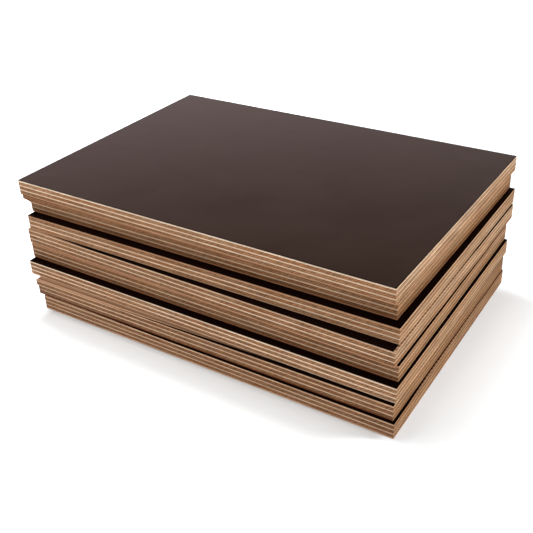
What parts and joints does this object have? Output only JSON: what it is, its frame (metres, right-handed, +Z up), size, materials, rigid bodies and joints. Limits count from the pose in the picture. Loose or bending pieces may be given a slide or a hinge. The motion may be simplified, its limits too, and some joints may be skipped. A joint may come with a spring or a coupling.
{
  "type": "stack of plywood sheets",
  "caption": "Loose stack of rectangular film-faced plywood panels with bare veneer edges, laid a little askew on each other to be used as sheet stock.",
  "frame": {"origin": "middle of the stack's outer box in X and Y, on the floor that the lowest sheet lies on", "axes": "+X along the sheets' long edges, +Y across them from the front to the back, +Z up through the stack"},
  "size_m": [0.498, 0.3638, 0.144],
  "materials": {
    "veneer_edge": "bare sawn edge of glued veneers",
    "face_film": "smooth dark brown phenolic film, satin"
  },
  "bodies": {
    "root": {"sheet_1": "veneer_edge", "sheet_2": "veneer_edge", "sheet_3": "veneer_edge", "sheet_4": "veneer_edge", "sheet_5": "veneer_edge", "sheet_6": "veneer_edge", "sheet_7": "veneer_edge", "sheet_8": "veneer_edge"}
  },
  "joints": []
}
